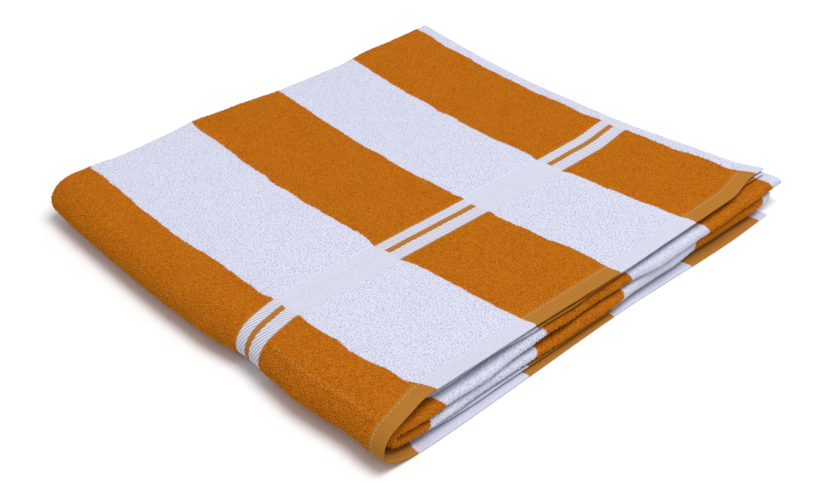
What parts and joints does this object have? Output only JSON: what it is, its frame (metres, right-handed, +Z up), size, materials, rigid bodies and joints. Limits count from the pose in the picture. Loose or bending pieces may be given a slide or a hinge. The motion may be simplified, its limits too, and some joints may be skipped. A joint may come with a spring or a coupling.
{
  "type": "beach towel",
  "caption": "Striped terry beach towel folded into a flat rectangular bundle with a rounded fold on one side, a flat hem and a woven border.",
  "frame": {"origin": "on the surface that the towel lies on, under the middle of the folded towel's box", "axes": "+X along the stripes towards the hems, +Y across the stripes away from the rounded fold, +Z up"},
  "size_m": [0.3585, 0.3967, 0.029],
  "materials": {
    "terry": "cotton loop terry in wide orange and white stripes, matt, with a flat woven hem and border"
  },
  "bodies": {
    "root": {"towel": "terry"}
  },
  "joints": []
}
